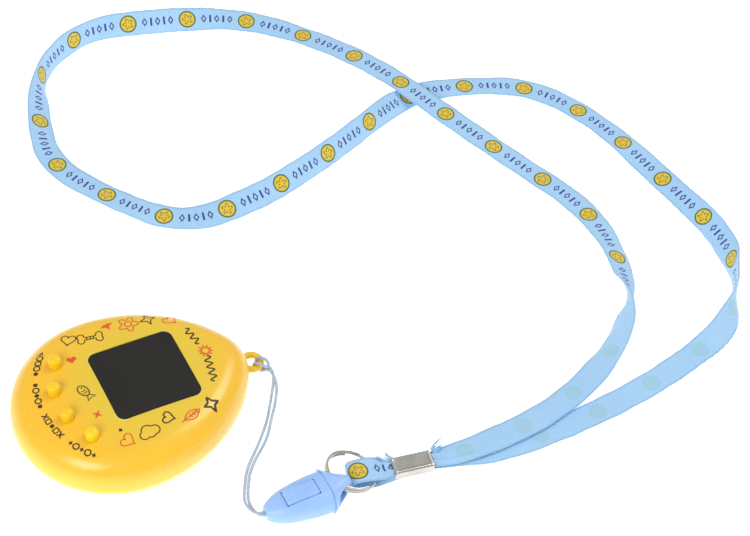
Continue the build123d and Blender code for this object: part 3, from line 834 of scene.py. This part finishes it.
def wave(length, height, turns):
    count = 12 * turns + 1
    return [(length * (i / (count - 1) - 0.5), height * math.sin(2 * math.pi * turns * i / (count - 1)))
            for i in range(count)]


WINDOW_HALF = (window_high[0] - window_low[0]) / 2 / MM
WINDOW_Y = SCREEN_Y / MM
COLUMN = WINDOW_HALF + 7.5    # middle of the row of prints on each side of the window
LEFT_PITCH = 7.2
RIGHT_PITCH = 8.0
LINE = 0.42


def left(step, out=0.0):
    """Place on the left of the window, in steps from its middle."""
    return -COLUMN - out, WINDOW_Y + step * LEFT_PITCH


def right(step, out=0.0):
    """Place on the right of the window, in steps from its middle."""
    return COLUMN + out, WINDOW_Y + step * RIGHT_PITCH


def middle_of(node):
    low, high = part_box(node)
    return (low[0] + high[0]) / 2 / MM, (low[1] + high[1]) / 2 / MM


BUTTON_ARC = math.hypot(*middle_of("select_button"))


def below(out, degrees):
    """Place beyond the buttons' arc, or inside it, turned from the case's centre line."""
    angle = math.radians(degrees)
    return (BUTTON_ARC + out) * math.sin(angle), -(BUTTON_ARC + out) * math.cos(angle)


black, red, pale = Print(), Print(), Print()
black.stroke(placed(heart(), *left(-2.5, 2.5), 60, 2.6), LINE)
red.fill(placed(star(), *left(-0.5, 3.0), 10, 2.6))
black.stroke(placed(dense(star()), *left(1.5), 5, 3.0), LINE)
red.stroke(placed(heart(), *left(2.5, -3.0), 120, 2.6), LINE)
red.stroke(placed(heart(), *right(-2, 0.5), 130, 2.6), LINE)
black.stroke(placed(heart(), *right(0, -2.5), 150, 2.3), LINE + 0.1)
black.stroke(placed(dense(star(4, 0.42)), *right(2, -2.5), 12, 2.9), 0.8)
red.fill(placed(heart(), *below(-5, -40), 80, 1.7))
red.fill(placed(star(4, 0.3), *below(-8, 25), 50, 2.0))
black.fill(placed(star(4, 0.7), *below(-6, 50), 20, 0.8))
# A bone, a flower, a small fish, a cloud and a leaf.
BONE = (*left(-1.5), 78)
black.stroke(placed(bone(), *BONE, 1.05), LINE)
for k in (-1, 0, 1):
    black.stroke(placed([(k * 1.1, -0.45), (k * 1.1, 0.45)], *BONE, 1.05), LINE, False)
FLOWER = left(0.5, 0.5)
red.stroke(placed(around(60, lambda a: 2.9 + 0.8 * math.cos(5 * a)), *FLOWER), LINE)
red.stroke(placed(disc(1.25), *FLOWER), LINE)
FISH = (*below(-9.5, -5), 20)
black.stroke(placed(around(36, lambda a: 2.5 / math.hypot(math.cos(a), math.sin(a) * 1.55)), *FISH), LINE)
black.stroke(placed([(2.3, 0.2), (4.6, 1.7), (4.0, 0), (4.6, -1.7), (2.3, -0.2)], *FISH), LINE, False)
black.fill(placed(placed(disc(0.33), -1.3, 0.35), *FISH))
black.stroke(placed([(-0.2, 1.0), (0.3, 0.0), (-0.2, -1.0)], *FISH), LINE * 0.8, False)
black.stroke(placed([(0.9, 0.9), (1.3, 0.0), (0.9, -0.9)], *FISH), LINE * 0.8, False)
black.stroke(placed(cloud(), *right(-1, 0.5), 100, 1.05), LINE)
LEAF = (*right(1, -0.5), 110)
red.stroke(placed(leaf(), *LEAF, 1.1), LINE)
red.stroke(placed([(-4.6, 0), (2.6, 0)], *LEAF), LINE, False)
for k in (-1, 0.3, 1.6):
    red.stroke(placed([(k, 0), (k + 0.8, 0.8)], *LEAF), LINE * 0.8, False)
    red.stroke(placed([(k, 0), (k + 0.8, -0.8)], *LEAF), LINE * 0.8, False)
# A plain sun between two flourishes, in place of any lettering.
SUN = (-1.5, WINDOW_Y + WINDOW_HALF + 8)
red.stroke(placed(disc(1.5), *SUN), 0.7)
for k in range(10):
    red.fill(placed([(1.95, -0.42), (3.0, 0.0), (1.95, 0.42)], *SUN, 36 * k))
black.stroke(placed(wave(8.5, 1.15, 3), SUN[0] - 8, SUN[1] - 1.5, 12), 0.62, False)
black.stroke(placed(wave(11.5, 1.2, 4), SUN[0] + 8, SUN[1] - 1.5, -10), 0.62, False)

# Rows of plain signs stand outside the buttons, on the same arc.
SIGN_OUT = 6.0
SIGN_PITCH = 2.35


def by_button(points, node, shift):
    """Points drawn upright, moved along the arc outside a button."""
    px, py = middle_of(node)
    radius = BUTTON_ARC + SIGN_OUT
    angle = math.atan2(py, px) + shift / radius
    return placed(points, radius * math.cos(angle), radius * math.sin(angle),
                  math.degrees(angle) + 90)


TRIANGLE = [(1.05, -1.25), (1.05, 1.25), (-1.05, 0.0)]
SQUARE = [(-0.85, -0.95), (0.85, -0.95), (0.85, 0.95), (-0.85, 0.95)]
CROSS = [[(-0.9, -1.1), (0.9, 1.1)], [(-0.9, 1.1), (0.9, -1.1)]]
FILLED = {"triangle": TRIANGLE, "dot": disc(0.8), "diamond": star(4, 0.7), "spark": star(4, 0.45)}
OUTLINED = {"square": dense(SQUARE), "ring": disc(1.05)}
SIGNS = {
    "select_button": ["triangle", "ring", "square", "ring", "dot"],
    "decide_button": ["dot", "ring", "diamond", "ring", "dot"],
    "cancel_button": ["cross", "square", "dot", "square", "cross"],
    "reset_button": ["spark", "ring", "spark", "ring", "spark"],
}
for node, row in SIGNS.items():
    for k, sign in enumerate(row):
        shift = (k - 2) * SIGN_PITCH
        if sign == "cross":
            for bar in CROSS:
                black.stroke(by_button(bar, node, shift), 0.55, False)
        elif sign in FILLED:
            black.fill(by_button(FILLED[sign], node, shift))
        else:
            black.stroke(by_button(OUTLINED[sign], node, shift), 0.5)

rim_line = []
for corner_x, corner_y, first in ((1, 1, 0), (-1, 1, 90), (-1, -1, 180), (1, -1, 270)):
    for i in range(7):
        angle = math.radians(first + 15 * i)
        flat = WINDOW_HALF + 0.42 - 3.3
        rim_line.append((corner_x * flat + 3.3 * math.cos(angle),
                         WINDOW_Y + corner_y * flat + 3.3 * math.sin(angle)))
pale.stroke(rim_line, 0.5)
for name, drawing, shader in (("prints_black", black, ink_black), ("prints_red", red, ink_red),
                              ("window_edge", pale, window_frame)):
    drawing.build(name, shader.material)

# ---- floor and light ---------------------------------------------------------------------
floor_material = Shader("floor", "#F6F6F6", 0.6, Emission_Color=(1, 1, 1, 1),
                        Emission_Strength=0.55)
floor = mesh_object("floor", [(-3, -3, 0), (3, -3, 0), (3, 3, 0), (-3, 3, 0)], [(0, 1, 2, 3)],
                    None, floor_material.material)
floor.location.z = -0.0002

world = bpy.data.worlds.new("studio")
world.use_nodes = True
world.node_tree.nodes["Background"].inputs["Color"].default_value = (1, 1, 1, 1)
world.node_tree.nodes["Background"].inputs["Strength"].default_value = 0.52
bpy.context.scene.world = world


def softbox(name, place, size, power):
    light = bpy.data.lights.new(name, "AREA")
    light.shape = "DISK"
    light.size = size
    light.energy = power
    obj = bpy.data.objects.new(name, light)
    obj.location = place
    obj.rotation_euler = (Vector((-0.05, 0.1, 0)) - Vector(place)).to_track_quat(
        "-Z", "Y").to_euler()
    bpy.context.scene.collection.objects.link(obj)


softbox("key", (-0.2, 1.0, 1.3), 0.9, 9)
softbox("fill", (0.6, -0.9, 0.9), 0.8, 9)
